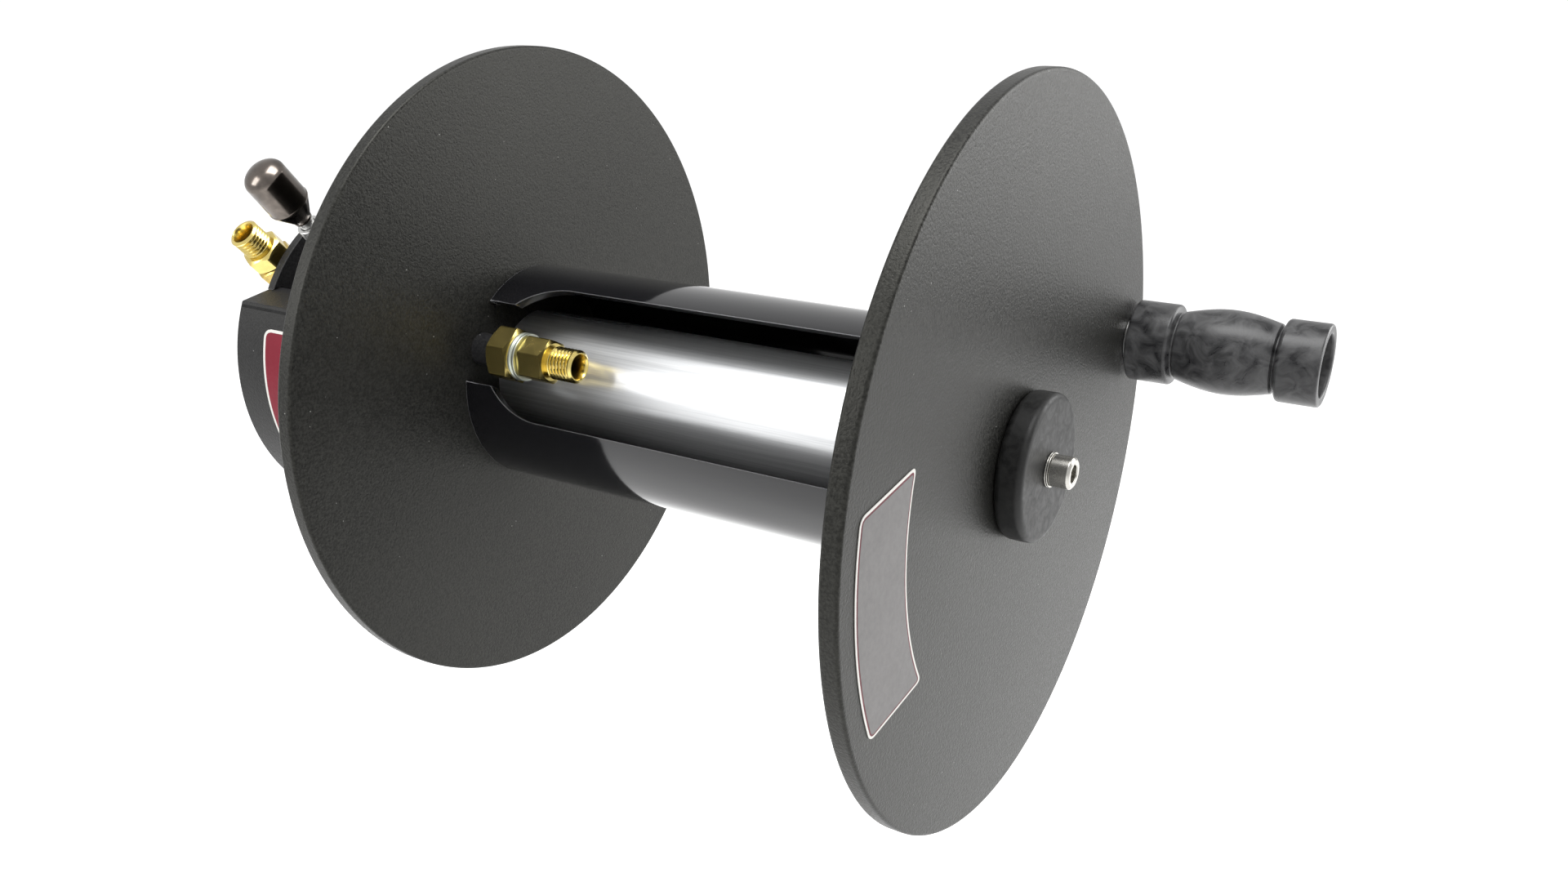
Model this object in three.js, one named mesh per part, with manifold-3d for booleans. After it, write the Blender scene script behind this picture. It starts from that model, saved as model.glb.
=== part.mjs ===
// A hand-cranked, one-sided hose reel: two discs and a slotted drum that turn on an axle held at one
// end in a half-round housing. Water enters a brass swivel behind the housing, runs through the
// hollow axle and a rotating arm, and leaves at a brass outlet inside the drum's slot.
//
// Millimetres. X is the reel's axis, from the mounting face at x = 0 towards the crank handle, Z is
// up, and an angle about X is measured from +Y towards +Z.

import * as THREE from 'three';
import { mergeVertices } from 'three/addons/utils/BufferGeometryUtils.js';
import Module from 'manifold-3d';

const wasm = await Module();
wasm.setup();

// ---------------------------------------------------------------- driving dimensions

const GAP = 0.1; // between plain faces of pieces that touch
const CUT_GAP = 0.3; // round a piece that passes through another
const RUNNING_GAP = 0.2; // radial, between faceted rounds that turn in each other

const DISC_RADIUS = 168;
const DISC_THICKNESS = 8.4;
const REAR_DISC_X = 119.1; // its back face
const WINDING_WIDTH = 269.7; // between the discs

const DRUM_RADIUS = 57;
const DRUM_WALL = 5.6;
const HUB_RADIUS = 32.5; // the bare tube inside the drum
const HUB_WALL = 6;

const SLOT_ANGLE = radians(150);
const SLOT_HALF_WIDTH = 34.5;
const SLOT_SETBACK = 9.4; // from each disc to the slot's round end
const NECK_HALF_WIDTH = 21.5; // where the slot opens onto the rear disc

const HOUSING_RADIUS = 97;
const HOUSING_WALL = 5;
const HOUSING_LENGTH = 112;
const LIP_ANGLE = radians(156); // where the band ends and the lip turns in
const LIP_SLOPE = radians(9);
const LIP_WIDTH = 23.7;
const PLATE_THICKNESS = 5;
const PLATE_TOP_RADIUS = 83.2;
const PLATE_AXLE_HOLE = 24;
const MOUNT_HOLE_CIRCLE = 66;
const MOUNT_HOLE_RADIUS = 4.5;
const MOUNT_HOLE_DEGREES = [210, 250, 290, 330];
const WEB_X = 64; // the plate that carries the sleeve's front end
const WEB_THICKNESS = 6;

const SLEEVE_RADIUS = 38; // the tube that holds the two bushes
const SLEEVE_BORE = 30;
const SLEEVE_END_X = 84;
const BUSH_LENGTH = 20;

const AXLE_RADIUS = 15;
const AXLE_BORE = 5;
const TAIL_RADIUS = 9; // the thin end that the swivel turns on
const TAIL_END_X = -31;
const AXLE_RING_X = 1.8; // the spring rings that hold the axle and the swivel
const SWIVEL_RING_X = -28.4;
const RING_WIDTH = 1.5;
const FLANGE_RADIUS = 36;
const FLANGE_THICKNESS = 8;
const HUB_BOLT_CIRCLE = 21.5;
const HUB_BOLT_RADIUS = 3;
const HUB_BOLT_COUNT = 4;

const OUTLET_ANGLE = radians(153.5);
const OUTLET_OFFSET = 47.9; // from the reel's axis
const COUPLING_FLATS = 25.4;
const FITTING_FLATS = 20.6;
const THREAD_RADIUS = 8.4; // 3/8 inch pipe thread, over the crests
const WATERWAY = 4.5; // radius of the drilled passages

const INLET_X = -14.3;
const INLET_ANGLE = radians(135);
const INLET_MOUTH = 101.3; // from the reel's axis

const BRAKE_X = 35.6;
const BRAKE_ANGLE = radians(130.6);
const BRAKE_GUIDE_TOP = 105.8;
const KNOB_FOOT = 109.4;
const KNOB_TIP = 147.6;
const KNOB_RADIUS = 11.3;

const PUCK_RADIUS = 33.6;
const PUCK_THICKNESS = 12.9;
const CENTRE_SCREW_RADIUS = 4.7;

const GRIP_Y = 145.1;
const GRIP_Z = 24.4;
const GRIP_START = 3.1; // from the front disc's outer face
const GRIP_END = 96.7;
const GRIP_BORE = 8;
const GRIP_BOLT_RADIUS = 5; // in the disc
const GRIP_PIN_RADIUS = 6; // in the grip

const LABEL_THICKNESS = 0.3;

const FULL_TURN = 2 * Math.PI;
const FINE = 60; // sides of the large rounds
const MEDIUM = 24;
const COARSE = 16;

// Planes across the reel's axis that several pieces share.
const REAR_DISC_FRONT = REAR_DISC_X + DISC_THICKNESS;
const FRONT_DISC_X = REAR_DISC_FRONT + WINDING_WIDTH;
const REEL_END = FRONT_DISC_X + DISC_THICKNESS;
const FLANGE_X = REAR_DISC_X - GAP - FLANGE_THICKNESS;
const ARM_START = SLEEVE_END_X + 2;
const ARM_END = ARM_START + 14;
const COUPLING_START = REAR_DISC_FRONT + 13.2;
const COUPLING_END = COUPLING_START + 14.1;
const WASHER_END = COUPLING_END + 4.4;
const FITTING_HEX_END = WASHER_END + 15.8;
const OUTLET_MOUTH_X = 191.5;

// ---------------------------------------------------------------- finishes

function finish(color, roughness, metalness) {
  return new THREE.MeshStandardMaterial({ color, roughness, metalness });
}

const BLACK_COAT = finish(0x2c2c2e, 0.55, 0.1);
const GLOSS_BLACK = finish(0x101012, 0.12, 0.1);
const BARE_ALUMINIUM = finish(0xd4d5d6, 0.25, 1);
const STEEL = finish(0x9a9a98, 0.35, 1);
const POLISHED_STEEL = finish(0x8c8984, 0.12, 1);
const ZINC = finish(0xa9b2a4, 0.4, 1);
const BRASS = finish(0xc9a13a, 0.25, 1);
const BRONZE = finish(0x9b7440, 0.5, 1);
const BLACK_PLASTIC = finish(0x242425, 0.35, 0);
const BLACK_RUBBER = finish(0x161616, 0.8, 0);
const LABEL_GREY = finish(0xb2b2ac, 0.5, 0);
const LABEL_RED = finish(0x9c1d2e, 0.45, 0);

// ---------------------------------------------------------------- making solids

function radians(degrees) {
  return (degrees * Math.PI) / 180;
}

// The point at a radius and an angle about X, as [y, z].
function polar(radius, angle) {
  return [radius * Math.cos(angle), radius * Math.sin(angle)];
}

// A geometry's vertices merged and its zero-area triangles dropped, as a manifold-3d solid.
function solid(geometry) {
  const bare = new THREE.BufferGeometry();
  bare.setAttribute('position', geometry.getAttribute('position'));
  bare.setIndex(geometry.getIndex());
  const merged = mergeVertices(bare, 1e-4);
  const corners = merged.getIndex().array;
  const kept = [];
  for (let i = 0; i < corners.length; i += 3) {
    const [a, b, c] = [corners[i], corners[i + 1], corners[i + 2]];
    if (a !== b && b !== c && c !== a) kept.push(a, b, c);
  }
  const mesh = new wasm.Mesh({
    numProp: 3,
    vertProperties: new Float32Array(merged.getAttribute('position').array),
    triVerts: new Uint32Array(kept),
  });
  return new wasm.Manifold(mesh);
}

// A manifold-3d solid back as a geometry.
function shell(body) {
  const mesh = body.getMesh();
  const geometry = new THREE.BufferGeometry();
  geometry.setAttribute('position', new THREE.BufferAttribute(mesh.vertProperties, 3));
  geometry.setIndex(new THREE.BufferAttribute(mesh.triVerts, 1));
  return geometry;
}

function cut(geometry, ...tools) {
  return shell(tools.reduce((body, tool) => body.subtract(solid(tool)), solid(geometry)));
}

function join(geometry, ...others) {
  return shell(others.reduce((body, other) => body.add(solid(other)), solid(geometry)));
}

function overlap(geometry, other) {
  return shell(solid(geometry).intersect(solid(other)));
}

// A profile of [along, radius] points turned round the Y axis. The profile starts and ends on the
// axis, or it is closed here into a ring.
function turned(profile, sides = MEDIUM) {
  const points = profile.map(([along, radius]) => new THREE.Vector2(radius, along));
  const onAxis = points[0].x === 0 && points[points.length - 1].x === 0;
  if (!onAxis) points.push(points[0].clone());
  if (THREE.ShapeUtils.area(points) < 0) points.reverse();
  return new THREE.LatheGeometry(points, sides);
}

// The same, turned round X.
function turnedOnX(profile, sides) {
  return turned(profile, sides).rotateZ(-Math.PI / 2);
}

// A ring or, with no bore, a rod along X.
function ringOnX(start, end, radius, bore = 0, sides = MEDIUM) {
  const profile = [
    [start, bore],
    [start, radius],
    [end, radius],
    [end, bore],
  ];
  return turnedOnX(profile, sides);
}

// The same about Y, which the brake and the inlet stand along.
function ringOnY(start, end, radius, bore = 0, sides = MEDIUM) {
  return ringOnX(start, end, radius, bore, sides).rotateZ(Math.PI / 2);
}

// An outline in the YZ plane, drawn as (y, z), extruded along X.
function extrudedOnX(shape, start, end, curveSegments = 12) {
  const geometry = new THREE.ExtrudeGeometry(shape, {
    depth: end - start,
    bevelEnabled: false,
    curveSegments,
  });
  const toYZ = new THREE.Matrix4().makeBasis(
    new THREE.Vector3(0, 1, 0),
    new THREE.Vector3(0, 0, 1),
    new THREE.Vector3(1, 0, 0),
  );
  return geometry.applyMatrix4(toYZ).translate(start, 0, 0);
}

// A hexagonal bar along X with its corners turned off at both ends.
function hexagonOnX(start, end, acrossFlats, chamfer = 1.2) {
  const corner = acrossFlats / Math.sqrt(3);
  const hexagon = ringOnX(start, end, corner, 0, 6);
  const profile = [
    [start, 0],
    [start, corner - chamfer],
    [start + chamfer, corner + GAP],
    [end - chamfer, corner + GAP],
    [end, corner - chamfer],
    [end, 0],
  ];
  return overlap(hexagon, turnedOnX(profile, COARSE));
}

const reel = new THREE.Group();

function add(name, geometry, material, parent = reel) {
  const mesh = new THREE.Mesh(geometry, material);
  mesh.name = name;
  parent.add(mesh);
  return mesh;
}

// A group whose own Y axis stands out from the reel's axis at an angle.
function radialGroup(x, angle) {
  const group = new THREE.Group();
  group.position.x = x;
  group.rotation.x = angle;
  reel.add(group);
  return group;
}

// ---------------------------------------------------------------- housing

// The band's section: an arc under the axle with a lip turned in at each end. A clearance makes it
// fatter on every side, to cut its neighbours.
function bandShape(clearance) {
  const outside = HOUSING_RADIUS + clearance;
  const inside = HOUSING_RADIUS - HOUSING_WALL - clearance;
  const rise = [Math.cos(LIP_SLOPE), Math.sin(LIP_SLOPE)];
  const outerCorner = polar(HOUSING_RADIUS, LIP_ANGLE);
  const innerAngle = LIP_ANGLE + radians(2);
  const innerStart = innerAngle + clearance / inside;
  const innerCorner = polar(HOUSING_RADIUS - HOUSING_WALL, innerAngle);
  const top = [outerCorner[0] - rise[1] * clearance, outerCorner[1] + rise[0] * clearance];
  const tip = [top[0] + rise[0] * (LIP_WIDTH + clearance), top[1] + rise[1] * (LIP_WIDTH + clearance)];
  const depth = HOUSING_WALL + 2 * clearance;
  const under = [tip[0] + rise[1] * depth, tip[1] - rise[0] * depth];
  const bend = 3;
  const outerStart = LIP_ANGLE + bend / outside;
  const bendEnd = polar(outside, outerStart);
  const shape = new THREE.Shape();
  shape.moveTo(tip[0], tip[1]);
  shape.lineTo(top[0] + bend * rise[0], top[1] + bend * rise[1]);
  shape.quadraticCurveTo(top[0], top[1], bendEnd[0], bendEnd[1]);
  shape.absarc(0, 0, outside, outerStart, 3 * Math.PI - outerStart);
  shape.quadraticCurveTo(-top[0], top[1], -top[0] - bend * rise[0], top[1] + bend * rise[1]);
  shape.lineTo(-tip[0], tip[1]);
  shape.lineTo(-under[0], under[1]);
  shape.lineTo(-innerCorner[0], innerCorner[1] - clearance);
  shape.absarc(0, 0, inside, 3 * Math.PI - innerStart, innerStart, true);
  shape.lineTo(innerCorner[0], innerCorner[1] - clearance);
  shape.lineTo(under[0], under[1]);
  shape.closePath();
  return shape;
}

const BAND_STEPS = 32; // straight steps round the band's arc

function housing() {
  add('housing_band', extrudedOnX(bandShape(0), 0, HOUSING_LENGTH, BAND_STEPS), BLACK_COAT);

  const lower = new THREE.Shape();
  lower.absarc(0, 0, HOUSING_RADIUS - HOUSING_WALL - 2 * CUT_GAP, radians(150), radians(390));
  lower.closePath();
  const upper = ringOnX(0, PLATE_THICKNESS, PLATE_TOP_RADIUS, 0, FINE);
  const band = extrudedOnX(bandShape(CUT_GAP), -1, PLATE_THICKNESS + 1, BAND_STEPS);
  const holes = MOUNT_HOLE_DEGREES.map((degrees) => {
    const [y, z] = polar(MOUNT_HOLE_CIRCLE, radians(degrees));
    return ringOnX(-1, PLATE_THICKNESS + 1, MOUNT_HOLE_RADIUS, 0, COARSE).translate(0, y, z);
  });
  const axleHole = ringOnX(-1, PLATE_THICKNESS + 1, PLATE_AXLE_HOLE, 0, MEDIUM);
  const plate = join(extrudedOnX(lower, 0, PLATE_THICKNESS, BAND_STEPS), upper);
  add('back_plate', cut(plate, band, axleHole, ...holes), BLACK_COAT);

  const web = new THREE.Shape();
  const [webStart, webEnd] = [radians(185), radians(355)];
  web.absarc(0, 0, HOUSING_RADIUS - HOUSING_WALL - CUT_GAP, webStart, webEnd);
  web.absarc(0, 0, SLEEVE_RADIUS + CUT_GAP, webEnd, webStart, true);
  web.closePath();
  add('support_web', extrudedOnX(web, WEB_X, WEB_X + WEB_THICKNESS, 24), BLACK_COAT);

  const sleeve = ringOnX(PLATE_THICKNESS + GAP, SLEEVE_END_X, SLEEVE_RADIUS, SLEEVE_BORE, MEDIUM);
  const brakeHole = ringOnY(20, 50, 5, 0, COARSE).rotateX(BRAKE_ANGLE).translate(BRAKE_X, 0, 0);
  add('bearing_sleeve', cut(sleeve, brakeHole), BLACK_COAT);
}

// Two flanged bushes, pressed into the sleeve from its ends.
function bushes() {
  const bore = AXLE_RADIUS + RUNNING_GAP;
  const outside = SLEEVE_BORE - GAP;
  const rearStart = PLATE_THICKNESS + GAP;
  add('rear_bush', ringOnX(rearStart, rearStart + BUSH_LENGTH, outside, bore), BRONZE);
  const collar = 34;
  const profile = [
    [SLEEVE_END_X - BUSH_LENGTH, bore],
    [SLEEVE_END_X - BUSH_LENGTH, outside],
    [SLEEVE_END_X + GAP, outside],
    [SLEEVE_END_X + GAP, collar],
    [ARM_START - 4 * GAP, collar],
    [ARM_START - 4 * GAP, bore],
  ];
  add('front_bush', turnedOnX(profile), BRONZE);
}

// A curved sticker on the side of the band.
function housingLabel() {
  const inner = HOUSING_RADIUS + GAP;
  const outer = inner + LABEL_THICKNESS;
  const [from, to] = [radians(163), radians(214)];
  const [start, end] = [21.9, 90];
  const strip = new THREE.Shape();
  strip.absarc(0, 0, outer, from, to);
  strip.absarc(0, 0, inner, to, from, true);
  strip.closePath();
  add('housing_label', extrudedOnX(strip, start, end, 10), LABEL_RED);
}

// ---------------------------------------------------------------- drum and discs

function discBlank(start) {
  const end = start + DISC_THICKNESS;
  const [soft, half] = [1.6, 0.5];
  const profile = [
    [start, 0],
    [start, DISC_RADIUS - soft],
    [start + half, DISC_RADIUS - half],
    [start + soft, DISC_RADIUS],
    [end - soft, DISC_RADIUS],
    [end - half, DISC_RADIUS - half],
    [end, DISC_RADIUS - soft],
    [end, 0],
  ];
  return turnedOnX(profile, FINE);
}

function hubBoltPlace(index) {
  return polar(HUB_BOLT_CIRCLE, radians(45) + (index * FULL_TURN) / HUB_BOLT_COUNT);
}

function hubBoltHoles(start, end) {
  const holes = [];
  for (let i = 0; i < HUB_BOLT_COUNT; i += 1) {
    const [y, z] = hubBoltPlace(i);
    holes.push(ringOnX(start, end, HUB_BOLT_RADIUS + CUT_GAP, 0, 12).translate(0, y, z));
  }
  return holes;
}

function discs() {
  const [outletY, outletZ] = polar(OUTLET_OFFSET, OUTLET_ANGLE);
  const rearSpan = [REAR_DISC_X - 1, REAR_DISC_FRONT + 1];
  const outletHole = ringOnX(...rearSpan, THREAD_RADIUS + 2, 0, COARSE).translate(0, outletY, outletZ);
  add('rear_disc', cut(discBlank(REAR_DISC_X), outletHole, ...hubBoltHoles(...rearSpan)), BLACK_COAT);

  const frontSpan = [FRONT_DISC_X - 1, REEL_END + 1];
  const screwHole = ringOnX(...frontSpan, CENTRE_SCREW_RADIUS + CUT_GAP, 0, COARSE);
  const gripHole = ringOnX(...frontSpan, GRIP_BOLT_RADIUS + CUT_GAP, 0, COARSE);
  gripHole.translate(0, GRIP_Y, GRIP_Z);
  add('front_disc', cut(discBlank(FRONT_DISC_X), screwHole, gripHole), BLACK_COAT);
}

// The slot's cutter: a bar with round ends, and a narrower neck that runs out over the rear disc.
function slotCutter() {
  const start = REAR_DISC_FRONT + SLOT_SETBACK + SLOT_HALF_WIDTH;
  const end = FRONT_DISC_X - SLOT_SETBACK - SLOT_HALF_WIDTH;
  const neckEnd = REAR_DISC_FRONT - 5;
  const neckJoin = start - Math.sqrt(SLOT_HALF_WIDTH ** 2 - NECK_HALF_WIDTH ** 2);
  const neckTurn = Math.acos(-NECK_HALF_WIDTH / SLOT_HALF_WIDTH);
  const shape = new THREE.Shape();
  shape.moveTo(neckEnd, -NECK_HALF_WIDTH);
  shape.lineTo(neckJoin, -NECK_HALF_WIDTH);
  shape.absarc(start, 0, SLOT_HALF_WIDTH, Math.PI / 2 + neckTurn, (3 * Math.PI) / 2);
  shape.absarc(end, 0, SLOT_HALF_WIDTH, -Math.PI / 2, Math.PI / 2);
  shape.absarc(start, 0, SLOT_HALF_WIDTH, Math.PI / 2, (3 * Math.PI) / 2 - neckTurn);
  shape.lineTo(neckEnd, NECK_HALF_WIDTH);
  shape.closePath();
  const reach = 30;
  const geometry = new THREE.ExtrudeGeometry(shape, {
    depth: reach,
    bevelEnabled: false,
    curveSegments: 12,
  });
  const [outY, outZ] = polar(1, SLOT_ANGLE);
  const facing = new THREE.Matrix4().makeBasis(
    new THREE.Vector3(1, 0, 0),
    new THREE.Vector3(0, -outZ, outY),
    new THREE.Vector3(0, -outY, -outZ),
  );
  const [y, z] = polar(DRUM_RADIUS + 3, SLOT_ANGLE);
  return geometry.applyMatrix4(facing).translate(0, y, z);
}

function drum() {
  const start = REAR_DISC_FRONT + GAP;
  const end = FRONT_DISC_X - GAP;
  const blank = ringOnX(start, end, DRUM_RADIUS, DRUM_RADIUS - DRUM_WALL, FINE);
  add('drum_tube', cut(blank, slotCutter()), GLOSS_BLACK);
  add('hub_tube', ringOnX(start, end, HUB_RADIUS, HUB_RADIUS - HUB_WALL), BARE_ALUMINIUM);

  const plugRadius = HUB_RADIUS - HUB_WALL - GAP;
  const plugLength = 20;
  const rearPlug = ringOnX(start, start + plugLength, plugRadius);
  const boltHoles = hubBoltHoles(start - 1, start + plugLength + 1);
  add('hub_rear_plug', cut(rearPlug, ...boltHoles), STEEL);
  const frontPlug = ringOnX(end - plugLength, end, plugRadius, CENTRE_SCREW_RADIUS + CUT_GAP);
  add('hub_front_plug', frontPlug, STEEL);
}

// ---------------------------------------------------------------- axle and rotating waterway

function axle() {
  const shoulder = -2;
  const profile = [
    [TAIL_END_X, 0],
    [TAIL_END_X, TAIL_RADIUS],
    ...groove(SWIVEL_RING_X, RING_WIDTH, TAIL_RADIUS, 1),
    [shoulder, TAIL_RADIUS],
    [shoulder, AXLE_RADIUS],
    ...groove(AXLE_RING_X, RING_WIDTH, AXLE_RADIUS, 1.5),
    [FLANGE_X, AXLE_RADIUS],
    [FLANGE_X, FLANGE_RADIUS],
    [REAR_DISC_X - GAP, FLANGE_RADIUS],
    [REAR_DISC_X - GAP, 0],
  ];
  const armX = (ARM_START + ARM_END) / 2;
  const bore = ringOnX(INLET_X - WATERWAY, armX + WATERWAY, AXLE_BORE, 0, COARSE);
  const inletHole = ringOnY(0, 20, 3, 0, COARSE).rotateX(INLET_ANGLE).translate(INLET_X, 0, 0);
  const armHole = ringOnY(0, 20, WATERWAY, 0, COARSE).rotateX(OUTLET_ANGLE).translate(armX, 0, 0);
  const bolts = hubBoltHoles(FLANGE_X - 1, REAR_DISC_X + 1);
  add('axle', cut(turnedOnX(profile), bore, inletHole, armHole, ...bolts), STEEL);
}

// The profile points of a groove that holds a ring of a width, with room on both sides.
function groove(start, width, radius, depth) {
  const [from, to] = [start - GAP, start + width + GAP];
  return [
    [from, radius],
    [from, radius - depth],
    [to, radius - depth],
    [to, radius],
  ];
}

// A spring ring with a gap, in the groove that starts at an x.
function retainingRing(name, start, inner, outer) {
  const open = radians(35);
  const ring = new THREE.Shape();
  ring.absarc(0, 0, outer, open / 2, FULL_TURN - open / 2);
  ring.absarc(0, 0, inner, FULL_TURN - open / 2, open / 2, true);
  ring.closePath();
  add(name, extrudedOnX(ring, start, start + RING_WIDTH, 14), STEEL);
}

function hubBolts() {
  const headLength = 6;
  const headRadius = 5;
  const reach = REAR_DISC_FRONT + 16;
  for (let i = 0; i < HUB_BOLT_COUNT; i += 1) {
    const shoulder = FLANGE_X - GAP;
    const profile = [
      [shoulder - headLength, 0],
      [shoulder - headLength, headRadius],
      [shoulder, headRadius],
      [shoulder, HUB_BOLT_RADIUS],
      [reach, HUB_BOLT_RADIUS],
      [reach, 0],
    ];
    const socket = ringOnX(shoulder - headLength - 1, shoulder - headLength + 3, 2.9, 0, 6);
    const bolt = add(`hub_bolt_${i + 1}`, cut(turnedOnX(profile, 12), socket), STEEL);
    const [y, z] = hubBoltPlace(i);
    bolt.position.set(0, y, z);
  }
}

// The arm is clamped on the axle and carries the water out to the outlet's pipe.
function manifoldArm() {
  const span = [ARM_START, ARM_END];
  const armX = (ARM_START + ARM_END) / 2;
  const collar = ringOnX(...span, 24, 0, MEDIUM);
  const [outletY, outletZ] = polar(OUTLET_OFFSET, OUTLET_ANGLE);
  const eye = ringOnX(...span, 12, 0, MEDIUM).translate(0, outletY, outletZ);
  const bar = new THREE.BoxGeometry(ARM_END - ARM_START, OUTLET_OFFSET, 24)
    .translate(armX, OUTLET_OFFSET / 2, 0)
    .rotateX(OUTLET_ANGLE);
  const axleHole = ringOnX(ARM_START - 1, ARM_END + 1, AXLE_RADIUS + GAP, 0, MEDIUM);
  const passage = ringOnY(0, OUTLET_OFFSET, WATERWAY, 0, COARSE)
    .rotateX(OUTLET_ANGLE)
    .translate(armX, 0, 0);
  const port = ringOnX(armX, ARM_END + 1, WATERWAY, 0, COARSE).translate(0, outletY, outletZ);
  const seat = ringOnX(ARM_END - 4, ARM_END + 1, THREAD_RADIUS + CUT_GAP, 0, COARSE);
  seat.translate(0, outletY, outletZ);
  add('manifold_arm', cut(join(collar, eye, bar), axleHole, passage, port, seat), STEEL);
}

// The outlet's pieces share one axis, parallel to the reel's, and are made about it.
function outlet() {
  const line = new THREE.Group();
  const [y, z] = polar(OUTLET_OFFSET, OUTLET_ANGLE);
  line.position.set(0, y, z);
  line.rotation.x = OUTLET_ANGLE;
  reel.add(line);

  const pipeEnd = COUPLING_START + 6;
  const pipe = ringOnX(ARM_END - 3.8, pipeEnd, THREAD_RADIUS, WATERWAY, COARSE);
  add('manifold_pipe', pipe, BLACK_COAT, line);

  const coupling = hexagonOnX(COUPLING_START, COUPLING_END, COUPLING_FLATS, 2.2);
  const socket = ringOnX(COUPLING_START - 1, COUPLING_END + 1, THREAD_RADIUS + CUT_GAP, 0, COARSE);
  add('outlet_coupling', cut(coupling, socket), BRASS, line);

  const washer = ringOnX(COUPLING_END + GAP, WASHER_END - GAP, 12.2, THREAD_RADIUS + CUT_GAP, COARSE);
  add('outlet_washer', washer, ZINC, line);

  const hexagon = hexagonOnX(WASHER_END, FITTING_HEX_END, FITTING_FLATS);
  const tail = ringOnX(pipeEnd + 1, WASHER_END + 1, THREAD_RADIUS, 0, COARSE);
  const spigot = turnedOnX(
    [
      [FITTING_HEX_END - 1, 0],
      [FITTING_HEX_END - 1, 7.4],
      [FITTING_HEX_END + 2, 7.4],
      [FITTING_HEX_END + 3, THREAD_RADIUS],
      [OUTLET_MOUTH_X - 1.2, THREAD_RADIUS - 0.2],
      [OUTLET_MOUTH_X, THREAD_RADIUS - 1.3],
      [OUTLET_MOUTH_X, 0],
    ],
    COARSE,
  );
  const bore = turnedOnX(
    [
      [pipeEnd - 2, 0],
      [pipeEnd - 2, WATERWAY],
      [OUTLET_MOUTH_X - 3, WATERWAY],
      [OUTLET_MOUTH_X + 0.2, 5.8],
      [OUTLET_MOUTH_X + 0.2, 0],
    ],
    COARSE,
  );
  add('outlet_fitting', cut(join(hexagon, tail, spigot), bore), BRASS, line);
}

// ---------------------------------------------------------------- front end

function frontEnd() {
  const puckStart = REEL_END + GAP;
  const puckEnd = puckStart + PUCK_THICKNESS;
  const soft = 3.6;
  const bore = CENTRE_SCREW_RADIUS + CUT_GAP;
  const puckProfile = [
    [puckStart, bore],
    [puckStart, PUCK_RADIUS - 0.8],
    [puckStart + 0.8, PUCK_RADIUS],
    [puckEnd - soft, PUCK_RADIUS],
    [puckEnd - 0.45 * soft, PUCK_RADIUS - 0.16 * soft],
    [puckEnd - 0.12 * soft, PUCK_RADIUS - 0.55 * soft],
    [puckEnd, PUCK_RADIUS - soft],
    [puckEnd, bore],
  ];
  add('end_puck', turnedOnX(puckProfile, MEDIUM), BLACK_PLASTIC);

  const washerEnd = puckEnd + 1.7;
  add('lock_washer', ringOnX(puckEnd + GAP, washerEnd, 7.9, bore, COARSE), POLISHED_STEEL);

  const seat = washerEnd + GAP;
  const headEnd = seat + 9.3;
  const screwProfile = [
    [FRONT_DISC_X - 16, 0],
    [FRONT_DISC_X - 16, CENTRE_SCREW_RADIUS],
    [seat, CENTRE_SCREW_RADIUS],
    [seat, 7.25],
    [headEnd - 0.8, 7.25],
    [headEnd, 6.5],
    [headEnd, 0],
  ];
  const socket = hexagonOnX(headEnd - 4.6, headEnd + 2, 7.9, 0.2);
  add('centre_screw', cut(turnedOnX(screwProfile, COARSE), socket), POLISHED_STEEL);
}

// A sticker beside the front disc's rim: straight ends, and long sides that follow the rim.
function frontLabel() {
  const [inner, outer, halfLength, corner] = [115, 156, 48.5, 4];
  const innerTurn = Math.asin(halfLength / inner);
  const outerTurn = Math.asin(halfLength / outer);
  const trim = corner / outer;
  const [upX, upY] = [outer * Math.cos(outerTurn), halfLength];
  const [lowX, lowY] = [inner * Math.cos(innerTurn), halfLength];
  const trimLow = corner / inner;
  const shape = new THREE.Shape();
  shape.absarc(0, 0, outer, trim - outerTurn, outerTurn - trim);
  shape.quadraticCurveTo(upX, upY, upX - corner, upY);
  shape.lineTo(lowX + corner, lowY);
  shape.quadraticCurveTo(lowX, lowY, ...polar(inner, innerTurn - trimLow));
  shape.absarc(0, 0, inner, innerTurn - trimLow, trimLow - innerTurn, true);
  shape.quadraticCurveTo(lowX, -lowY, lowX + corner, -lowY);
  shape.lineTo(upX - corner, -upY);
  shape.quadraticCurveTo(upX, -upY, ...polar(outer, trim - outerTurn));
  const label = extrudedOnX(shape, REEL_END + GAP, REEL_END + GAP + LABEL_THICKNESS, 8);
  label.rotateX(radians(188));
  add('front_label', label, LABEL_GREY);
}

// ---------------------------------------------------------------- crank handle

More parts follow.
